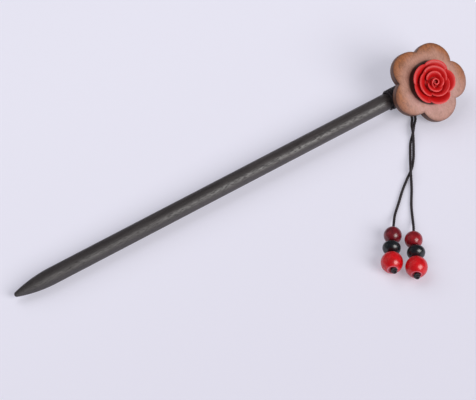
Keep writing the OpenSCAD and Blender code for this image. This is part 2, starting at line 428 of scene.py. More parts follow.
@dataclass(frozen=True)
class Layout:
    """Sizes that several pieces share, in metres, and the frames that pieces are drawn in."""

    shaft_radius: float = 3.05 * MM
    shaft_length: float = 156.5 * MM
    mount_station: float = 86 * MM
    neck_depth: float = 0.35 * MM
    play: float = 0.05 * MM
    wrap_diameter: float = 1.1 * MM
    wrap_turns: int = 8
    wrap_nest: float = 0.96
    head_room: float = 0.4 * MM
    knob_length: float = 12.6 * MM
    petal_count: int = 5
    petal_turn: float = 87.5
    petal_radius: float = 7 * MM
    flower_radius: float = 15 * MM
    flower_thickness: float = 4.5 * MM
    flower_down: float = 0.4 * MM
    rose_along: float = 0.1 * MM
    rose_down: float = 1.0 * MM
    strand_diameter: float = 1 * MM

    @property
    def shaft(self) -> Matrix:
        """The frame of the shaft: its tip at the origin and its head along +X."""
        mount = next(m for m in frame["record"]["mounts"] if m["name"] == "shaft")
        along = -Vector(mount["axis"]).normalized()
        across = Vector((0, 1, 0))
        turn = Matrix((along, across, along.cross(across))).transposed().to_4x4()
        tip = Vector(mount["pos_m"]) - self.mount_station * along
        return Matrix.Translation(tip) @ turn

    @property
    def neck_radius(self) -> float:
        """The radius of the neck that takes the binding."""
        return self.shaft_radius - self.neck_depth

    @property
    def wrap_pitch(self) -> float:
        """The step from one turn of the binding to the next."""
        return self.wrap_nest * self.wrap_diameter

    @property
    def wrap_length(self) -> float:
        """The length of the whole binding."""
        return (self.wrap_turns - 1) * self.wrap_pitch + self.wrap_diameter

    @property
    def neck_end(self) -> float:
        """Where the neck ends and the knob starts, from the tip."""
        return self.shaft_length + self.wrap_length + 2 * self.play

    @property
    def head(self) -> float:
        """Where the flower's middle is, from the tip."""
        return self.neck_end + self.knob_length / 2

    @property
    def seat_height(self) -> float:
        """The height of the knob's flat above the shaft's axis."""
        return self.neck_radius + self.play + self.wrap_diameter + self.head_room

    @property
    def petal_out(self) -> float:
        """How far a petal's middle is from the flower's middle."""
        return self.flower_radius - self.petal_radius

    @property
    def petal_angles(self) -> list[float]:
        """The direction of each petal, in degrees."""
        return [self.petal_turn - (i + 0.5) * 360 / self.petal_count for i in range(self.petal_count)]

    @property
    def roll(self) -> float:
        """The flower's roll about the shaft, which brings its lowest petal down to the table."""
        head_z = (self.shaft @ Vector((self.head, 0, 0))).z
        high = self.seat_height + self.play
        lowest = min(math.sin(math.radians(a)) for a in self.petal_angles)
        reach = self.flower_down + self.petal_radius - self.petal_out * lowest
        return math.atan2(high, reach) + math.asin(head_z / math.hypot(high, reach))

    @property
    def flower(self) -> Matrix:
        """The frame of the flower: its back at the origin, +Z out of its face, +X to the head."""
        place = Matrix.Translation((0, -self.flower_down, self.seat_height + self.play))
        return self.shaft @ Matrix.Translation((self.head, 0, 0)) @ Matrix.Rotation(self.roll, 4, "X") @ place

    @property
    def rose(self) -> Matrix:
        """The frame of the rose: the middle of its foot at the origin, +Z out of the flower's face."""
        base = self.flower_thickness + self.play
        return self.flower @ Matrix.Translation((self.rose_along, -self.rose_down, base))


# Finishes


@dataclass(frozen=True)
class Finish:
    """A material with one shader, whose look its own method paints."""

    name: str

    def paint(self, graph: Paint) -> dict[str, object]:
        """The shader's inputs by name, as values or links."""
        raise NotImplementedError

    def material(self) -> bpy.types.Material:
        """Builds the material."""
        made = bpy.data.materials.new(self.name)
        made.use_nodes = True
        graph = Paint(made.node_tree)
        shader = made.node_tree.nodes["Principled BSDF"]
        for name, value in self.paint(graph).items():
            graph.feed(shader.inputs[name], value)
        return made


@dataclass(frozen=True)
class StainedWood(Finish):
    """Dark stained wood with fine grain along the shaft, duller towards its point, where painted shade also
    darkens it.
    """

    grain: Matrix
    length: float
    dark: Colour = (0.0152, 0.0115, 0.0122)
    pale: Colour = (0.061, 0.050, 0.050)
    streak_size: Point = (9 * MM, 0.35 * MM, 0.35 * MM)
    broad_size: Point = (30 * MM, 2 * MM, 2 * MM)
    pore_size: Point = (1.6 * MM, 0.22 * MM, 0.22 * MM)
    # painted shade: how dark the wood is painted at the point, and how much lighter it gets towards the head
    painted_falloff_at_point: float = 0.45
    painted_falloff_gain: float = 0.65
    point_roughness: float = 0.5
    roughness_loss: float = 0.15
    relief: float = 0.08 * MM

    def paint(self, graph: Paint) -> dict[str, object]:
        """Streaks, pores, a satin skin and painted shade towards the point."""
        streak = graph.grain(self.streak_size, self.grain, 4.0, 0.6, 0.4)
        broad = graph.grain(self.broad_size, self.grain)
        pore = graph.grain(self.pore_size, self.grain, 3.0, 0.6)
        tone = streak.ramp(0.3, 0.72) * 0.7 + broad.ramp(0.35, 0.65) * 0.3
        pits = pore.ramp(0.52, 0.66)
        far = graph.axis("X", self.grain).ramp(0.0, self.length)
        # painted shade: the colour darkens towards the point, standing in for light falling off there
        shade = tone * (1 - 0.6 * pits) * (self.painted_falloff_at_point + self.painted_falloff_gain * far)
        return {
            "Base Color": graph.mix(shade, self.dark, self.pale),
            "Roughness": self.point_roughness - self.roughness_loss * far + 0.14 * tone + 0.16 * pits,
            "Specular IOR Level": 0.92,
            "Normal": graph.bump(tone * 0.4 - pits * 0.6, self.relief, 0.75),
        }


@dataclass(frozen=True)
class FlowerWood(Finish):
    """Pale pinkish wood, orange brown at the petals' ends partly from painted shade, dark round its edge,
    with a painted shadow by the rose.
    """

    centre: Matrix
    # the frame of the painted shadow round the rose's foot
    foot: Matrix
    face: Colour = (0.49, 0.247, 0.18)
    pale: Colour = (0.60, 0.35, 0.31)
    fleck: Colour = (0.31, 0.15, 0.10)
    tip: Colour = (0.42, 0.14, 0.042)
    side: Colour = (0.15, 0.066, 0.042)
    edge: Colour = (0.070, 0.026, 0.018)
    painted_shadow: Colour = (0.030, 0.012, 0.009)
    grain_size: Point = (0.55 * MM, 1.4 * MM, 0.55 * MM)
    speck_size: Point = (0.28 * MM, 0.4 * MM, 0.28 * MM)
    patch_size: Point = (1.6 * MM, 2.6 * MM, 1.6 * MM)
    cloud_size: Point = (5 * MM, 8 * MM, 5 * MM)
    tip_from: float = 9.6 * MM
    tip_full: float = 13.4 * MM
    tip_waver: float = 5 * MM
    tips_fade: tuple[float, float] = (-11 * MM, 2 * MM)
    painted_shadow_edge: float = 8.4 * MM
    painted_shadow_full: float = 7.8 * MM
    relief: float = 0.04 * MM

    def paint(self, graph: Paint) -> dict[str, object]:
        """Flecked grain across the face, warmer towards the rim partly as painted shade, a dark side, and a
        painted shadow round the rose.
        """
        low = graph.axis("Y", self.centre)
        grain = graph.grain(self.grain_size, self.centre, 4.0, 0.65, 0.6)
        speck = graph.grain(self.speck_size, self.centre)
        patch = graph.grain(self.patch_size, self.centre, 3.0, 0.6, 0.5)
        cloud = graph.grain(self.cloud_size, self.centre)
        fleck = grain.ramp(0.4, 0.7) * 0.45 + speck.ramp(0.48, 0.7) * 0.3 + patch.ramp(0.42, 0.66) * 0.3
        reach = graph.reach(self.centre) + (cloud - 0.5) * self.tip_waver
        # the petals' ends: a darker orange brown, stronger on the upper petals, partly the wood's colour and
        # partly painted shade where the rim slopes away from the light
        rim = reach.ramp(self.tip_from, self.tip_full) * low.ramp(*self.tips_fade, 0.25, 0.9)
        # painted shadow: a dark ring round the rose's foot, off centre towards where its shadow falls
        ring = graph.reach(self.foot).ramp(self.painted_shadow_edge, self.painted_shadow_full)
        paler = (0.6 * cloud + 0.4 * patch + low * (-0.02 / MM)).ramp(0.44, 0.68)
        edge = graph.stored("edge")
        wood = graph.mix(paler, self.face, self.pale)
        wood = graph.mix(fleck * (1 - 0.4 * paler), wood, self.fleck)
        wood = graph.mix(rim, wood, graph.mix(fleck, self.tip, self.edge))
        wood = graph.mix(ring * 0.9, wood, self.painted_shadow)
        side = graph.mix(edge.ramp(1.2, 1.8), self.side, self.edge)
        return {
            "Base Color": graph.mix(edge.at_most(1.0), wood, side),
            "Roughness": 0.5 + 0.15 * fleck,
            "Specular IOR Level": 0.4,
            "Normal": graph.bump(1 - fleck, self.relief, 0.5),
        }


@dataclass(frozen=True)
class RoseResin(Finish):
    """Coral red moulded resin, with a painted highlight on the petals' rims and painted shade in their folds.
    """

    body: Colour = (0.59, 0.007, 0.008)
    # painted highlight on the petals' rims
    rim: Colour = (0.92, 0.085, 0.085)
    # painted shade in the petals' folds
    painted_fold_shade: Colour = (0.30, 0.002, 0.002)
    cloud_size: Point = (1.2 * MM, 1.2 * MM, 1.2 * MM)
    relief: float = 0.02 * MM

    def paint(self, graph: Paint) -> dict[str, object]:
        """A colour that follows the carved relief: a painted highlight on ridges and painted shade in
        crevices.
        """
        cloud = graph.grain(self.cloud_size, None, 3.0)
        height = graph.stored("relief") + (cloud - 0.5) * 0.15
        # painted highlight: the paler rim colour on the ridges
        colour = graph.mix(height.ramp(0.6, 0.92), self.body, self.rim)
        return {
            # painted shade: the deeper colour in the crevices
            "Base Color": graph.mix(height.ramp(0.42, 0.12), colour, self.painted_fold_shade),
            "Roughness": 0.36 + 0.12 * cloud,
            "Specular IOR Level": 0.45,
            "Normal": graph.bump(cloud, self.relief, 0.4),
        }


@dataclass(frozen=True)
class WaxedCord(Finish):
    """Dark waxed cord, whose fibres follow the twist."""

    dark: Colour = (0.009, 0.006, 0.008)
    pale: Colour = (0.036, 0.026, 0.030)
    fibre_length: float = 1.4 * MM
    fibres_round: float = 1.3
    wax_size: Point = (1.5 * MM, 1.5 * MM, 1.5 * MM)
    relief: float = 0.05 * MM

    def paint(self, graph: Paint) -> dict[str, object]:
        """Fibres along each ply and a soft waxy shine."""
        lengthwise = graph.stored("lengthwise") / self.fibre_length
        run = graph.node("ShaderNodeCombineXYZ", None, (0.0, 0.0, lengthwise))
        round_ply = graph.scaled(graph.stored("round_ply", "Vector"), self.fibres_round)
        fibre = graph.noise(graph.vector("ADD", round_ply, run), 3.0, 0.6)
        return {
            "Base Color": graph.mix(fibre.ramp(0.35, 0.68), self.dark, self.pale),
            "Roughness": 0.42 + 0.2 * graph.grain(self.wax_size),
            "Specular IOR Level": 0.5,
            "Normal": graph.bump(fibre, self.relief, 0.5),
        }


@dataclass(frozen=True)
class BeadLacquer(Finish):
    """Lacquer over a turned bead, with a faintly cloudy colour."""

    deep: Colour
    bright: Colour
    # the lip's paler colour: thin lacquer and a painted highlight on the rounded mouth
    lip: Colour = (0.70, 0.17, 0.23)
    roughness: float = 0.22
    cloud_size: Point = (2.2 * MM, 2.2 * MM, 2.2 * MM)
    wave_size: Point = (1.1 * MM, 1.1 * MM, 1.1 * MM)
    relief: float = 0.015 * MM

    def paint(self, graph: Paint) -> dict[str, object]:
        """Soft clouds, and a paler lip round the mouth: thin lacquer there, and a painted highlight on its
        rounded edge.
        """
        cloud = graph.grain(self.cloud_size, None, 3.0, 0.5, 0.8)
        wave = graph.grain(self.wave_size)
        thin_lacquer_and_highlight = graph.stored("lip") * cloud.ramp(0.35, 0.6, 0.5, 0.95)
        lacquer = graph.mix(cloud.ramp(0.34, 0.66), self.deep, self.bright)
        return {
            "Base Color": graph.mix(thin_lacquer_and_highlight, lacquer, self.lip),
            "Roughness": self.roughness + 0.1 * wave,
            "Specular IOR Level": 0.7,
            "Normal": graph.bump(wave, self.relief, 0.35),
        }


@dataclass(frozen=True)
class Backdrop(Finish):
    """A pale matt sheet that glows a little, as if lit from behind, with painted shade that darkens it
    towards the front.
    """

    far: Colour = (0.85, 0.84, 0.95)
    near_painted_shade: Colour = (0.73, 0.715, 0.82)
    cover: float = 0.69
    # painted light: the sheet glows, which lightens the shadows cast on it
    glow: float = 0.345
    turn_at: float = 0.15

    def paint(self, graph: Paint) -> dict[str, object]:
        """A slow change of tone over the sheet: painted shade towards the front, and a glow that lightens its
        shadows.
        """
        # painted shade: darker towards the front
        sheet = graph.mix(graph.axis("Y").ramp(self.turn_at, -self.turn_at), self.far, self.near_painted_shade)
        return {
            "Base Color": graph.scaled(sheet, self.cover),
            "Emission Color": sheet,
            "Emission Strength": self.glow,
            "Roughness": 0.85,
            "Specular IOR Level": 0.2,
        }


# Camera, lights and floor


@dataclass(frozen=True)
class SoftBox:
    """A square lamp that faces the object.

    The direction is where it stands as the camera sees it: to the right, up, and towards the camera.
    """

    name: str
    toward: Point
    distance: float
    width: float
    power: float
    colour: Colour = (1.0, 1.0, 1.0)
    mirrored: bool = True


@dataclass
class Studio:
    """The camera, the lights and the floor."""

    layout: Layout
    aim: tuple[float, float] = (88.75 * MM, -5.19 * MM)
    azimuth: float = 33.05
    elevation: float = 52.0
    distance: float = 1.020
    focal_pixels: float = 2868.0
    image_width: float = 476.0
    sensor: float = 36.0
    clip: tuple[float, float] = (0.01, 20.0)
    floor_size: float = 6.0
    floor_gap: float = 0.02 * MM
    sky: Colour = (0.93, 0.94, 1.0)
    sky_strength: float = 0.13
    boxes: tuple[SoftBox, ...] = (
        SoftBox("key", (0.62, -0.02, 0.78), 1.6, 0.95, 20.5, (1.0, 0.98, 0.96)),
        SoftBox("side", (-0.93, 0.25, 0.2), 1.4, 1.3, 1.2, (0.97, 0.98, 1.0)),
        SoftBox("back", (-0.5, 0.78, 0.36), 2.4, 2.6, 33.0, (0.97, 0.98, 1.0), mirrored=False),
    )

    @property
    def target(self) -> Vector:
        """The point on the table that the camera and the lamps face."""
        tip = self.layout.shaft.translation
        return Vector((tip.x + self.aim[0], tip.y + self.aim[1], 0))

    def build(self) -> None:
        """Makes the camera, the lights, the sky and the floor."""
        azimuth, elevation = math.radians(self.azimuth), math.radians(self.elevation)
        level = math.cos(elevation)
        back = -Vector((math.sin(azimuth) * level, math.cos(azimuth) * level, -math.sin(elevation)))
        turn = back.to_track_quat("Z", "Y")
        data = bpy.data.cameras.new("camera")
        data.sensor_width = self.sensor
        data.lens = self.sensor * self.focal_pixels / self.image_width
        data.clip_start, data.clip_end = self.clip
        camera = bpy.data.objects.new("camera", data)
        camera.location = self.target + self.distance * back
        camera.rotation_euler = turn.to_euler()
        bpy.context.scene.collection.objects.link(camera)
        bpy.context.scene.camera = camera
        for box in self.boxes:
            self._lamp(box, turn @ Vector(box.toward).normalized())
        self._sky()
        self._floor()

    def _lamp(self, box: SoftBox, direction: Vector) -> None:
        """Adds one soft box."""
        data = bpy.data.lights.new(box.name, "AREA")
        data.shape = "SQUARE"
        data.size = box.width
        data.energy = box.power
        data.color = box.colour
        lamp = bpy.data.objects.new(box.name, data)
        lamp.location = self.target + box.distance * direction
        lamp.rotation_euler = direction.to_track_quat("Z", "Y").to_euler()
        lamp.visible_camera = False
        lamp.visible_glossy = box.mirrored
        bpy.context.scene.collection.objects.link(lamp)

    def _sky(self) -> None:
        """Sets the even light from all round."""
        world = bpy.data.worlds.new("sky")
        world.use_nodes = True
        shade = world.node_tree.nodes["Background"]
        shade.inputs["Color"].default_value = (*self.sky, 1.0)
        shade.inputs["Strength"].default_value = self.sky_strength
        bpy.context.scene.world = world
        bpy.context.scene.view_settings.view_transform = "Standard"

    def _floor(self) -> None:
        """Lays the pale sheet just under the object."""
        half = self.floor_size / 2
        corners = [(x * half, y * half, -self.floor_gap) for x, y in ((-1, -1), (1, -1), (1, 1), (-1, 1))]
        new_piece("floor", corners, [(0, 1, 2, 3)], Backdrop("pale_sheet").material())


# Cord


@dataclass
class CordTwister:
    """Makes twisted cord along a path: plies that run round the path in a helix."""

    plies: int = 3
    ply_spread: float = 0.2
    sides: int = 10
    step: float = 0.14 * MM
    tree: Tree = field(init=False)

    def __post_init__(self) -> None:
        """Builds the tree once."""
        tree = self.tree = Tree("twisted_cord")
        diameter, lay = tree.size("Cord Diameter"), tree.size("Lay Length")
        plies, sides, step = tree.count("Plies"), tree.count("Sides"), tree.size("Ring Spacing")
        path = tree.node("GeometryNodeMeshToCurve", None, (tree.geometry,))
        path = tree.node("GeometryNodeResampleCurve", {"mode": "LENGTH"}, {"Curve": path, "Length": step})
        path = tree.node("GeometryNodeSetCurveNormal", {"mode": "MINIMUM_TWIST"}, (path,))
        values = {"Geometry": path, "Amount": plies}
        copies = tree.node("GeometryNodeDuplicateElements", {"domain": "SPLINE"}, values)
        along = tree.node("GeometryNodeSplineParameter").also("Length")
        phase = copies.also("Duplicate Index") / plies
        angle = (along / lay + phase) * math.tau
        normal = tree.node("GeometryNodeInputNormal")
        tangent = tree.node("GeometryNodeInputTangent")
        binormal = tree.vector("CROSS_PRODUCT", tangent, normal)
        spread = diameter * self.ply_spread
        around = tree.vector(
            "ADD",
            tree.scaled(normal, angle.cosine() * spread),
            tree.scaled(binormal, angle.sine() * spread),
        )
        ply = tree.store(copies, "lengthwise", along)
        ply = tree.node("GeometryNodeSetPosition", None, {"Geometry": ply, "Offset": around})
        section = tree.node("GeometryNodeCurvePrimitiveCircle", None, {"Resolution": sides, "Radius": 1.0})
        section = tree.store(section, "round_ply", tree.node("GeometryNodeInputPosition"), "FLOAT_VECTOR")
        values = {"Curve": ply, "Profile Curve": section, "Scale": diameter / 2 - spread, "Fill Caps": True}
        tree.close(tree.node("GeometryNodeCurveToMesh", None, values))

    def twist(self, name: str, path: Sequence[Vector], diameter: float, lay: float,
              finish: bpy.types.Material) -> bpy.types.Object:
        """Makes one cord.

        Args:
            name: The piece's name.
            path: The points of its centreline, in metres.
            diameter: Its diameter over the plies.
            lay: The length of one full twist.
            finish: Its material.

        Returns:
            The piece, as a plain mesh.
        """
        piece = new_piece(name, path, [], edges=line_of(len(path)))
        values = {
            "Cord Diameter": diameter, "Lay Length": lay, "Plies": self.plies,
            "Sides": self.sides, "Ring Spacing": self.step,
        }
        self.tree.bake(piece, finish, values)
        return piece


# Tassel


class Bead(Enum):
    """The three beads of a string, in their order on it, with their sizes in metres."""

    SMALL = ("small", 6.4 * MM, 6.4 * MM, 1.7 * MM, "dark_red_bead")
    BLACK = ("black", 6.5 * MM, 5.0 * MM, 1.7 * MM, "black_bead")
    BIG = ("big", 7.9 * MM, 7.9 * MM, 2.8 * MM, "bright_red_bead")

    def __init__(self, label: str, diameter: float, length: float, mouth: float, slot: str) -> None:
        """Names the bead's values.

        Args:
            label: Its name.
            diameter: Its diameter.
            length: Its length along its hole, as if it had none.
            mouth: The diameter of its mouth on the knot's side.
            slot: The record's name of its finish.
        """
        self.label, self.diameter, self.length, self.mouth, self.slot = label, diameter, length, mouth, slot

    def node(self, side: "Side") -> str:
        """The name of this bead's CAD node on a string."""
        return f"bead_{side.label}_{self.label}"


class Side(Enum):
    """The two strings of the tassel, with the route of each strand from the binding to its first bead.

    The routes are in millimetres, from the table under the end of the shaft.
    """

    LEFT = ("left", (
        (6.3, -1.5, 1.0), (6.6, -4.9, 0.8), (5.7, -8.3, 0.7), (3.2, -11.6, 1.35),
        (1.5, -14.7, 1.75), (-0.6, -18.1, 1.2), (-2.7, -21.2, 0.6), (-4.4, -23.6, 0.6),
        (-6.9, -26.5, 0.6), (-9.2, -28.5, 0.6), (-12.2, -30.6, 0.6), (-16.6, -34.0, 0.6),
        (-21.1, -38.0, 0.6), (-24.0, -40.5, 0.7), (-25.9, -42.4, 1.1), (-28.4, -45.4, 2.3),
    ))
    RIGHT = ("right", (
        (7.5, -1.5, 1.0), (7.8, -5.0, 0.8), (6.7, -9.0, 0.6), (4.3, -11.6, 0.6),
        (1.7, -14.5, 0.6), (-1.6, -17.7, 0.6), (-3.7, -20.5, 0.6), (-5.8, -23.5, 1.0),
        (-8.0, -26.7, 1.55), (-9.6, -29.1, 1.75), (-11.0, -31.4, 1.15), (-13.5, -35.3, 0.6),
        (-17.3, -40.5, 0.6), (-19.5, -44.0, 0.6), (-21.5, -47.4, 1.0), (-23.8, -51.0, 2.3),
    ))

    def __init__(self, label: str, route: tuple[Point, ...]) -> None:
        """Names the string's label and its strand's route."""
        self.label, self.route = label, route

    def node(self, part: str) -> str:
        """The name of the CAD node of one part of this string."""
        return f"{part}_{self.label}"


@dataclass
class Tassel:
    """Two strands of waxed cord with three beads and a stopper knot each."""

    layout: Layout
    twister: CordTwister
    cord: bpy.types.Material
    lay: float = 3.4 * MM
    tuck: Point = (-0.5, 2.0, 1.5)
    bore: float = 1.7 * MM
    rounding: float = 0.3 * MM
    recess_floor: float = 3.15 * MM
    columns: int = 56
    skin_steps: int = 36
    lip_steps: int = 8
    soft_steps: int = 4
    path_steps: int = 8
    knot_steps: int = 48
    knot_gap: float = 20.0
    knot_smoothing: int = 3
    knot_loop: float = 0.7 * MM
    knot_swing: float = 0.24 * MM
    knot_half: float = 0.3 * MM
    knot_cord: float = 0.78 * MM
    knot_deeper: float = 0.12 * MM
    knot_stretch: float = 1.22
    knot_aside: Point = (0.25 * MM, -0.16 * MM, 0.0)
    stand_out: float = 1.05
    cord_lengths: tuple[tuple[Side, float], ...] = ((Side.LEFT, 0.084), (Side.RIGHT, 0.086))

    def build(self) -> None:
        """Makes both strings."""
        black = BeadLacquer("black_lacquer", (0.003, 0.004, 0.006), (0.008, 0.011, 0.015))
        bright = BeadLacquer("bright_red_lacquer", (0.50, 0.001, 0.004), (0.66, 0.002, 0.007))
        shared = {Bead.BLACK: black.material(), Bead.BIG: bright.material()}
        # the two small beads are one dark red: the left one's lacquer is darker as painted shade, the right
        # one's brighter as painted light
        small = {
            Side.LEFT: BeadLacquer("dark_red_lacquer_shaded", (0.105, 0.003, 0.009), (0.19, 0.006, 0.014)),
            Side.RIGHT: BeadLacquer("dark_red_lacquer_lit", (0.20, 0.003, 0.009), (0.34, 0.006, 0.014)),
        }
        for side, length in self.cord_lengths:
            self._string(side, {Bead.SMALL: small[side].material(), **shared})

    def _string(self, side: Side, lacquers: dict[Bead, bpy.types.Material]) -> None:
        """Makes one strand, its beads and its knot."""
        centres = [middle_of(bead.node(side)) for bead in Bead]
        knot_at = middle_of(side.node("knot"))
        path, last = self._path(side, centres, knot_at)
        node = side.node("thread")
        thick = self.stand_out * self.layout.strand_diameter
        strand = self.twister.twist(f"{node}_cord", path, thick, self.lay, self.cord)
        knot = self._knot(side, knot_at, knot_at - centres[-1])
        stand_for(strand, node)
        stops = [last, *centres, knot_at]
        for i, bead in enumerate(Bead):
            self._bead(side, bead, centres[i], stops[i + 2] - stops[i], lacquers[bead])

    def _path(self, side: Side, centres: list[Vector], knot_at: Vector) -> tuple[list[Vector], Vector]:
        """The strand's centreline, and its last point before its beads.

        It runs from under the binding through the beads and into the knot.
        """
        tip = self.layout.shaft.translation
        end = Vector((tip.x + self.layout.shaft_length, tip.y, 0))
        laid = [end + Vector(p) * MM for p in side.route]
        start = laid[0] + Vector(self.tuck) * MM
        return through([start, *laid, *centres, knot_at], self.path_steps), laid[-1]

    def _bead(
        self, side: Side, bead: Bead, centre: Vector, along: Vector, finish: bpy.types.Material
    ) -> None:
        """Makes one drilled bead with rounded mouths."""
        radius, hole, mouth, soft = bead.diameter / 2, self.bore / 2, bead.mouth / 2, self.rounding
        low, high = self._lip(radius, hole), self._lip(radius, mouth)
        top = [(hole, 0.0)]
        if mouth > hole:
            floor = self.recess_floor
            top = [*arc((mouth - soft, floor + soft), soft, 0, -90, self.soft_steps), (hole, floor)]
        skin = arc((0, 0), radius, -low[1], high[1], self.skin_steps)[:-1]
        lip = arc((mouth + soft, high[0]), soft, high[1], 180, self.lip_steps)
        foot = arc((hole + soft, -low[0]), soft, -180, -low[1], self.lip_steps)[:-1]
        outline = [*skin, *lip, *top, *foot]
        outline = [(r, z * bead.length / bead.diameter) for r, z in outline]
        piece = lathe(f"{bead.node(side)}_round", outline, self.columns, set_along(centre, along), finish)
        # marks the mouth's rounded lip for the finish's paler colour: thin lacquer and a painted highlight
        in_lip = range(len(skin), len(skin) + len(lip))
        marks = [float(mouth > hole and i in in_lip) for i in range(len(outline))]
        keep_values(piece, "lip", [mark for mark in marks for _ in range(self.columns)])
        stand_for(piece, bead.node(side))

    def _lip(self, radius: float, mouth: float) -> tuple[float, float]:
        """The height of a rounded mouth's arc, and the angle where it meets the bead's outline."""
        rise = math.sqrt((radius - self.rounding) ** 2 - (mouth + self.rounding) ** 2)
        return rise, math.degrees(math.atan2(rise, mouth + self.rounding))

    def _knot(self, side: Side, centre: Vector, along: Vector) -> bpy.types.Object:
        """Makes a tight overhand knot of the same cord, cut off close."""
        loops = []
        for i in range(self.knot_steps + 1):
            t = math.radians(self.knot_gap + (360 - 2 * self.knot_gap) * i / self.knot_steps)
            out = self.knot_loop + self.knot_swing * math.cos(3 * t)
            wide = self.knot_stretch * out * math.cos(2 * t)
            loops.append(Vector((wide, out * math.sin(2 * t), self.knot_half * math.sin(3 * t))))
        head = Vector((0, 0, -1.6 * self.knot_half))
        tail = Vector((0.5 * self.knot_loop, 0, 0.4 * self.knot_half))
        centre = centre - along.normalized() * self.knot_deeper + Vector(self.knot_aside)
        place = set_along(centre, along)
        path = [place @ point for point in through([head, *loops, tail], self.knot_smoothing)]
        node = side.node("knot")
        knot = self.twister.twist(f"{node}_tied", path, self.knot_cord, self.lay, self.cord)
        stand_for(knot, node)
        return knot


def middle_of(node: str) -> Vector:
    """The middle of a CAD node's box."""
    low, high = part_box(node)
    return (Vector(low) + Vector(high)) / 2


def lathe(
    name: str, outline: Outline, columns: int, place: Matrix, finish: bpy.types.Material
) -> bpy.types.Object:
    """Turns a closed outline round the Z axis.

    Args:
        name: The piece's name.
        outline: Points as radius and height, which close on themselves.
        columns: How many sides the piece has.
        place: Where the piece goes.
        finish: Its material.

    Returns:
        The piece.
    """
    angles = [math.tau * j / columns for j in range(columns)]
    points = [place @ polar(radius, angle, height) for radius, height in outline for angle in angles]
    piece = new_piece(name, points, rings_to_faces(len(outline), columns, loop=True), finish)
    tidied(piece)
    return piece


# Binding


@dataclass
class Binding:
    """Waxed cord wound side by side round the neck, its ends tucked under."""

    layout: Layout
    twister: CordTwister
    cord: bpy.types.Material
    lay: float = 3.2 * MM
    steps_each_turn: int = 60
    tuck_turn: float = 0.12
    tuck_depth: float = 0.7 * MM
    start_angle: float = 200.0

    def build(self) -> None:
        """Makes the winding."""
        layout = self.layout
        turns = layout.wrap_turns - 1
        radius = layout.neck_radius + layout.play + layout.wrap_diameter / 2
        first = layout.shaft_length + layout.play + layout.wrap_diameter / 2
        path = []
        for i in range(turns * self.steps_each_turn + 1):
            turn = i / self.steps_each_turn
            end = min(turn, turns - turn)
            r = radius - self.tuck_depth * max(0.0, 1 - end / self.tuck_turn) ** 2
            a = math.radians(self.start_angle) + math.tau * turn
            place = (first + turn * layout.wrap_pitch, r * math.cos(a), r * math.sin(a))
            path.append(layout.shaft @ Vector(place))
        piece = self.twister.twist("binding_wound", path, layout.wrap_diameter, self.lay, self.cord)
        stand_for(piece, "binding")


# Shaft


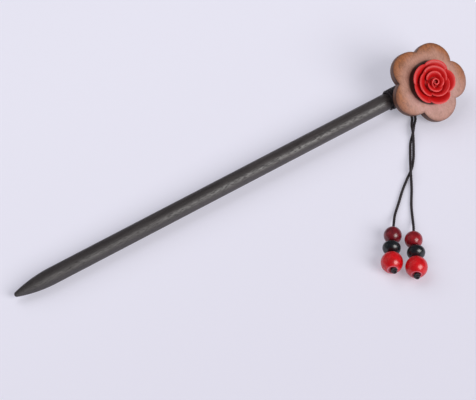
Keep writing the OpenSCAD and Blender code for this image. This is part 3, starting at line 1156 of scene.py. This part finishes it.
@dataclass
class Shaft:
    """The turned shaft: a pointed end, a long round body, a neck and a knob with a flat."""

    layout: Layout
    tip_radius: float = 0.95 * MM
    point_length: float = 15.5 * MM
    knob_swell: float = 1.0 * MM
    seat_cut: float = 1.2 * MM
    knob_dome: float = 0.8 * MM
    shoulder: float = 0.18 * MM
    point_spread: float = 1.2
    sides: int = 72

    def build(self) -> None:
        """Turns the shaft in Geometry Nodes from its rule."""
        stations = self._stations()
        piece = new_piece("stick_turned", [(x, 0, 0) for x in stations], [], edges=line_of(len(stations)))
        shaft = self.layout.shaft
        finish = StainedWood("dark_wood_stained", shaft, self.layout.shaft_length).material()
        self._tree().bake(piece, finish, {**self._sizes(), "Sides": self.sides})
        tidied(piece, merge=0.001 * MM)
        piece.data.transform(shaft)
        stand_for(piece, "stick")

    def _stations(self) -> list[float]:
        """Places along the axis, close together where the outline turns."""
        tip, point, soft = self.tip_radius, self.point_length, self.shoulder
        neck, knob = self.layout.shaft_length, self.layout.neck_end
        dome = knob + self.layout.knob_length - self.knob_dome
        turns = [math.radians(angle) for angle in range(0, 91, 9)]
        stops = [tip * (1 - math.cos(turn)) for turn in turns]
        stretches = (
            (tip, point, 24, self.point_spread),
            (point, neck - soft, 60, 1.0),
            (neck - soft, neck, 4, 1.0),
            (neck, knob, 8, 1.0),
            (knob, knob + soft, 4, 1.0),
            (knob + soft, dome, 20, 1.0),
        )
        for start, end, steps, power in stretches:
            stops += [start + (end - start) * (i / steps) ** power for i in range(1, steps + 1)]
        return stops + [dome + self.knob_dome * math.sin(turn) for turn in turns[1:]]

    def _sizes(self) -> dict[str, float]:
        """The tree's sizes by name, in the order of its inputs."""
        layout = self.layout
        return {
            "Shaft Radius": layout.shaft_radius,
            "Tip Radius": self.tip_radius,
            "Point Length": self.point_length,
            "Shaft Length": layout.shaft_length,
            "Neck Radius": layout.neck_radius,
            "Neck End": layout.neck_end,
            "Knob Length": layout.knob_length,
            "Knob Radius": layout.seat_height + self.seat_cut,
            "Knob Swell": self.knob_swell,
            "Seat Height": layout.seat_height,
        }

    def _tree(self) -> Tree:
        """The rule of the outline, from the tip to the knob."""
        tree = Tree("turned_shaft")
        sizes = [tree.size(name) for name in self._sizes()]
        body, tip, point, length, neck, neck_end, knob_length, knob, swell, seat = sizes
        sides = tree.count("Sides")
        x = tree.node("ShaderNodeSeparateXYZ", None, (tree.node("GeometryNodeInputPosition"),))
        run = point - tip
        bow = (run * run + body * body - tip * tip) / (2 * (body - tip))
        back = (point - x).at_least(0.0)
        nose = (tip * tip - (tip - x) * (tip - x)).at_least(0.0).root()
        point_arc = body - bow + (bow * bow - back * back).at_least(0.0).root()
        start = nose * (1 - (x > tip)) + point_arc.at_least(nose) * (x > tip)
        in_neck = self._step(x, length - self.shoulder) * (1 - self._step(x, neck_end))
        half = knob_length / 2
        crown = (half * half + swell * swell) / (2 * swell)
        off = x - neck_end - half
        belly = knob - crown + (crown * crown - off * off).at_least(0.0).root()
        dome = ((x - neck_end - knob_length + self.knob_dome) / self.knob_dome).at_least(0.0).at_most(1.0)
        belly = belly * (1 - dome * dome).at_least(0.0).root()
        in_knob = self._step(x, neck_end)
        radius = start * (1 - in_neck) * (1 - in_knob) + neck * in_neck + belly * in_knob
        line = tree.node("GeometryNodeMeshToCurve", None, (tree.geometry,))
        ring = tree.node("GeometryNodeCurvePrimitiveCircle", None, {"Resolution": sides, "Radius": 1.0})
        values = {"Curve": line, "Profile Curve": ring, "Scale": radius}
        shape = tree.node("GeometryNodeCurveToMesh", None, values)
        place = tree.node("GeometryNodeInputPosition")
        across = (0.0, -math.sin(self.layout.roll), math.cos(self.layout.roll))
        proud = (tree.vector("DOT_PRODUCT", place, across) - seat).at_least(0.0)
        cut = tree.scaled(tree.node("ShaderNodeCombineXYZ", None, across), 0.0 - proud)
        shape = tree.node("GeometryNodeSetPosition", None, {"Geometry": shape, "Offset": cut})
        tree.close(shape)
        return tree

    def _step(self, x: Socket, place: Socket) -> Socket:
        """A short slope from nought to one that starts at a place along the shaft."""
        return ((x - place) / self.shoulder).at_least(0.0).at_most(1.0)


# Flower


@dataclass
class Flower:
    """A five-petalled wooden plate with round petals and a rim that slopes down to their ends."""

    layout: Layout
    rim_width: float = 4.4 * MM
    rim_drop: float = 3.0 * MM
    disc_spare: float = 0.6 * MM
    top_round: float = 0.35 * MM
    rim_shade: float = 0.42
    back_round: float = 0.8 * MM
    painted_shadow_shift: Point = (-0.12 * MM, 0.6 * MM, 0.0)
    petal_trims: tuple[float, ...] = (0.35 * MM, 0.0, 0.0, 0.0, 0.45 * MM)
    columns_each: int = 44
    face_rings: int = 26
    shaded_rings: int = 3
    face_spread: float = 1.3
    line_degrees: float = 30.0

    def build(self) -> None:
        """Makes the plate from rings of points that follow its outline."""
        points, edge = [], []
        rays = self._rays()
        for wall, rule in self._rings():
            for angle, reach in rays:
                radius, height = rule(reach)
                points.append(polar(radius, angle, height))
                edge.append(wall)
        count = len(rays)
        faces = rings_to_faces(len(points) // count, count)
        ends = ((0, 0.0, 1.0), (len(points) - count, self.layout.flower_thickness, 0.0))
        for first, height, wall in ends:
            faces += [(first + j, first + (j + 1) % count, len(points)) for j in range(count)]
            points.append(Vector((0, 0, height)))
            edge.append(wall)
        # the painted shadow's ring is centred a little off the rose's foot, where its shadow falls
        foot = self.layout.rose @ Matrix.Translation(self.painted_shadow_shift)
        finish = FlowerWood("flower_wood", self.layout.flower, foot).material()
        piece = new_piece("flower_plate", points, faces, finish)
        tidied(piece)
        keep_values(piece, "edge", edge)
        piece.data.transform(self.layout.flower)
        stand_for(piece, "flower")

    def _rays(self) -> list[tuple[float, float]]:
        """Directions round the flower, each with the outline's reach in it."""
        radius, half = self.layout.petal_radius, 180 / self.layout.petal_count
        rays = []
        for middle, trim in zip(sorted(self.layout.petal_angles), self.petal_trims):
            out = self.layout.petal_out - trim
            for j in range(self.columns_each):
                off = math.radians(half * (2 * j / self.columns_each - 1))
                reach = out * math.cos(off) + math.sqrt(radius**2 - (out * math.sin(off)) ** 2)
                rays.append((math.radians(middle) + off, reach))
        return rays

    def _face(self, radius: float) -> float:
        """The height of the flower's face at a radius."""
        flat = self.layout.flower_radius + self.disc_spare - self.rim_width
        u = max(0.0, radius - flat) / self.rim_width
        return self.layout.flower_thickness - self.rim_drop * (1 - math.sqrt(1 - min(u, 1.0) ** 2))

    def _rings(self) -> list[tuple[float, Callable[[float], tuple[float, float]]]]:
        """The plate's rings from the middle of its back to the middle of its face.

        Returns:
            How much of the dark edge each ring shows, and the rule that gives its radius and
            height from the outline's reach.
        """
        back, top = self.back_round, self.top_round
        rings = [(1.0, lambda reach, s=s: (reach * s, 0.0)) for s in (0.3, 0.6, 0.85)]
        for a in (0, 22.5, 45, 67.5, 90):
            inset, rise = back * (1 - math.sin(math.radians(a))), back * (1 - math.cos(math.radians(a)))
            rings.append((1.0, lambda reach, i=inset, h=rise: (reach - i, h)))
        for share in (0.33, 0.67):
            rings.append((1.0, lambda reach, s=share: (reach, back + (self._face(reach) - top - back) * s)))
        for a in (0, 18, 36, 54, 72, 90):
            inset, drop = top * (1 - math.cos(math.radians(a))), top * (1 - math.sin(math.radians(a)))
            shade = max(self.rim_shade, 2 - a / self.line_degrees)
            rings.append((shade, lambda reach, i=inset, h=drop: (reach - i, self._face(reach - i) - h)))
        for k in range(1, self.face_rings):
            share = 1 - (k / self.face_rings) ** self.face_spread
            shade = self.rim_shade * max(0.0, 1 - k / self.shaded_rings)
            rings.append((shade, lambda reach, s=share: ((reach - top) * s, self._face((reach - top) * s))))
        return rings


# Rose


@dataclass(frozen=True)
class Petal:
    """One petal of the rose, in millimetres and in degrees about the rose's axis.

    The foot and the rim are a radius and a height. The lead is how much further out the petal's
    left end is than its right end, the droop is how far both ends of its rim come down, the tuck
    is how far they draw in, and the shift is where its own middle is.
    """

    middle: float
    width: float
    foot: tuple[float, float]
    rim: tuple[float, float]
    thick: float = 0.6
    lead: float = 0.25
    droop: float = 0.8
    tuck: float = 1.3
    shift: tuple[float, float] = (0.0, 0.0)


@dataclass
class Rose:
    """A moulded rose: three rings of cupped petals round a curled bud, fused into one piece."""

    layout: Layout
    voxel: float = 0.13
    soften_share: float = 0.5
    soften_rounds: int = 3
    petals: tuple[Petal, ...] = (
        Petal(125.0, 82.0, (4.9, 1.3), (8.0, 3.7), tuck=1.0),
        Petal(56.5, 86.0, (4.9, 1.3), (8.05, 3.6), tuck=1.2, lead=-0.1),
        Petal(-19.5, 86.0, (4.9, 1.3), (7.8, 3.7), tuck=1.9),
        Petal(263.5, 88.0, (4.9, 1.3), (7.9, 3.6), tuck=1.6),
        Petal(190.5, 84.0, (4.9, 1.3), (8.0, 3.5), tuck=0.9),
        Petal(163.5, 132.0, (3.4, 2.4), (5.7, 4.7), lead=0.35, tuck=0.9, shift=(-0.3, 0.15)),
        Petal(48.5, 140.0, (3.4, 2.4), (5.7, 4.8), lead=0.35, tuck=0.9, shift=(-0.3, 0.15)),
        Petal(-66.5, 132.0, (3.4, 2.4), (5.6, 4.7), lead=0.35, tuck=0.9, shift=(-0.3, 0.15)),
        Petal(68.0, 148.0, (2.0, 3.3), (3.6, 5.5), lead=0.3, tuck=0.7, shift=(-0.4, 0.2)),
        Petal(238.5, 142.0, (2.0, 3.3), (3.5, 5.4), lead=0.3, tuck=0.7, shift=(-0.4, 0.2)),
        Petal(-26.0, 104.0, (1.8, 3.3), (3.15, 5.3), lead=0.2, tuck=0.6, shift=(-0.4, 0.2)),
    )
    bud_at: tuple[float, float] = (-0.3, 0.0)
    bud_wall: float = 0.46
    bud_foot: float = 3.4
    bud_curl: tuple[tuple[float, float, float], ...] = (
        (243.5, 2.1, 4.8), (200.0, 1.6, 5.3), (153.5, 1.25, 5.6), (63.5, 1.08, 5.85),
        (-26.5, 1.0, 5.85), (-116.5, 0.85, 5.75), (-170.0, 0.5, 5.4),
    )
    end_fall: float = 2.5
    end_thinning: float = 0.4
    end_thin_power: float = 5.0
    bowl: tuple[tuple[float, float], ...] = ((0.25, 0.5), (0.65, 1.0))
    wall_steps: int = 10
    rim_steps: int = 8
    bud_steps: int = 12
    core_columns: int = 72
    relief_rounds: int = 30
    relief_height: float = 0.35
    core: tuple[tuple[float, float], ...] = (
        (0.0, 0.0), (6.2, 0.0), (6.5, 0.6), (6.3, 1.4), (5.8, 1.8), (5.2, 1.5), (4.6, 1.6), (4.2, 2.1),
        (3.6, 2.6), (3.2, 2.7), (2.6, 3.1), (1.9, 3.6), (1.2, 4.1), (0.0, 4.3),
    )

    def build(self) -> None:
        """Makes the petals, fuses them and marks their relief."""
        points, faces = [], []
        for shell in (*map(self._petal, self.petals), self._bud(), self._core()):
            self._add(points, faces, shell)
        piece = new_piece("rose_moulded", points, faces)
        fuse = piece.modifiers.new("fuse", "REMESH")
        fuse.mode = "VOXEL"
        fuse.voxel_size = self.voxel
        fuse.use_smooth_shade = True
        soften = piece.modifiers.new("soften", "SMOOTH")
        soften.factor = self.soften_share
        soften.iterations = self.soften_rounds
        baked(piece)
        tidied(piece)
        # the relief drives the painted highlight on the rims and the painted shade in the folds
        keep_values(piece, "relief", relief_of(piece.data, self.relief_rounds, self.relief_height))
        piece.data.materials.append(RoseResin("rose_resin_red").material())
        piece.data.transform(self.layout.rose @ Matrix.Scale(MM, 4))
        piece.data.shade_smooth()
        stand_for(piece, "rose")

    @staticmethod
    def _add(points: list[Vector], faces: Faces, shell: Shell) -> None:
        """Adds one closed shell to the others."""
        first = len(points)
        points += shell[0]
        faces += [tuple(first + i for i in face) for face in shell[1]]

    @staticmethod
    def _sheath(sections: list[list[Vector]]) -> Shell:
        """A shell over sections with as many points each, closed at both ends."""
        size, last = len(sections[0]), len(sections) - 1
        faces = rings_to_faces(len(sections), size)
        faces += [tuple(range(size)), tuple(reversed(range(last * size, (last + 1) * size)))]
        return [point for section in sections for point in section], faces

    def _petal(self, petal: Petal) -> Shell:
        """One petal: a thin wall that flares out to a rounded rim."""
        columns = max(16, int(petal.width / 3))
        centre = Vector((*petal.shift, 0))
        sections = []
        for j in range(columns + 1):
            u = 2 * j / columns - 1
            angle = math.radians(petal.middle + u * petal.width / 2)
            sections.append([centre + polar(r, angle, z) for r, z in self._section(petal, u)])
        return self._sheath(sections)

    def _section(self, petal: Petal, u: float) -> Outline:
        """The petal's section at a place between its right end, -1, and its left end, 1."""
        fall = abs(u) ** self.end_fall
        rim = Vector((petal.rim[0] + petal.lead * u - petal.tuck * fall, petal.rim[1] - petal.droop * fall))
        a, d = Vector(petal.foot), rim
        b, c = (a + Vector(((d.x - a.x) * out, (d.y - a.y) * up)) for out, up in self.bowl)
        thick = petal.thick * (1 - self.end_thinning * abs(u) ** self.end_thin_power)
        left, right = [], []
        for k in range(self.wall_steps + 1):
            t = k / self.wall_steps
            at = a * (1 - t) ** 3 + 3 * b * t * (1 - t) ** 2 + 3 * c * t**2 * (1 - t) + d * t**3
            ahead = (b - a) * (1 - t) ** 2 + 2 * (c - b) * t * (1 - t) + (d - c) * t**2
            ahead.normalize()
            across = Vector((ahead.y, -ahead.x)) * thick / 2
            left.append(at + across)
            right.append(at - across)
        start = math.degrees(math.atan2(across.y, across.x))
        rim_arc = arc((rim.x, rim.y), thick / 2, start, start + 180, self.rim_steps)[1:-1]
        return [tuple(p) for p in left] + rim_arc + [tuple(p) for p in reversed(right)]

    def _bud(self) -> Shell:
        """The curled bud: a wall that winds inwards from a tail."""
        centre, half = Vector((*self.bud_at, 0)), self.bud_wall / 2
        sections = []
        for angle, radius, top in through([Vector(knot) for knot in self.bud_curl], self.bud_steps):
            rim = arc((radius, top - half), half, 0, 180, self.rim_steps)
            section = [(radius + half, self.bud_foot), *rim, (radius - half, self.bud_foot)]
            sections.append([centre + polar(r, math.radians(angle), z) for r, z in section])
        return self._sheath(sections)

    def _core(self) -> Shell:
        """The turned body that the petals grow from."""
        columns, rings = self.core_columns, len(self.core) - 2
        angles = [math.tau * j / columns for j in range(columns)]
        points = [Vector((0, 0, self.core[0][1]))]
        points += [polar(radius, a, height) for radius, height in self.core[1:-1] for a in angles]
        points.append(Vector((0, 0, self.core[-1][1])))
        faces = [tuple(1 + i for i in face) for face in rings_to_faces(rings, columns)]
        top = 1 + (rings - 1) * columns
        for j in range(columns):
            k = (j + 1) % columns
            faces += [(0, 1 + k, 1 + j), (top + j, top + k, len(points) - 1)]
        return points, faces


def rows_of(items: bpy.types.bpy_prop_collection, name: str, width: int) -> numpy.ndarray:
    """A property of a mesh's vertices or edges, with a row for each."""
    values = numpy.empty(len(items) * width)
    items.foreach_get(name, values)
    return values.reshape(-1, width)


def relief_of(mesh: bpy.types.Mesh, rounds: int, reach: float) -> list[float]:
    """How far each point stands out of its surroundings.

    Args:
        mesh: The carved mesh.
        rounds: How many times its points are averaged with their neighbours.
        reach: The height that counts as fully raised, in the mesh's own units.

    Returns:
        A value for each point: one on a ridge, a half on an even face and nought in a crevice.
    """
    count = len(mesh.vertices)
    place, normal = rows_of(mesh.vertices, "co", 3), rows_of(mesh.vertices, "normal", 3)
    ends = rows_of(mesh.edges, "vertices", 2).astype(numpy.int64)
    one, other = ends.T
    share = numpy.maximum(numpy.bincount(ends.ravel(), minlength=count), 1)[:, None]
    even = place
    for _ in range(rounds):
        total = numpy.stack([
            numpy.bincount(one, even[other, k], count) + numpy.bincount(other, even[one, k], count)
            for k in range(3)
        ], axis=1)
        even = total / share
    proud = ((place - even) * normal).sum(axis=1)
    return numpy.clip(0.5 + 0.5 * proud / reach, 0, 1).tolist()


def main() -> None:
    """Builds the studio and the hair stick."""
    logging.basicConfig(level=logging.INFO, format="%(name)s: %(message)s", force=True)
    layout = Layout()
    Studio(layout).build()
    cord, twister = WaxedCord("waxed_cord_dark").material(), CordTwister()
    Tassel(layout, twister, cord).build()
    Binding(layout, twister, cord).build()
    Shaft(layout).build()
    Flower(layout).build()
    Rose(layout).build()


if __name__ == "__main__":
    main()
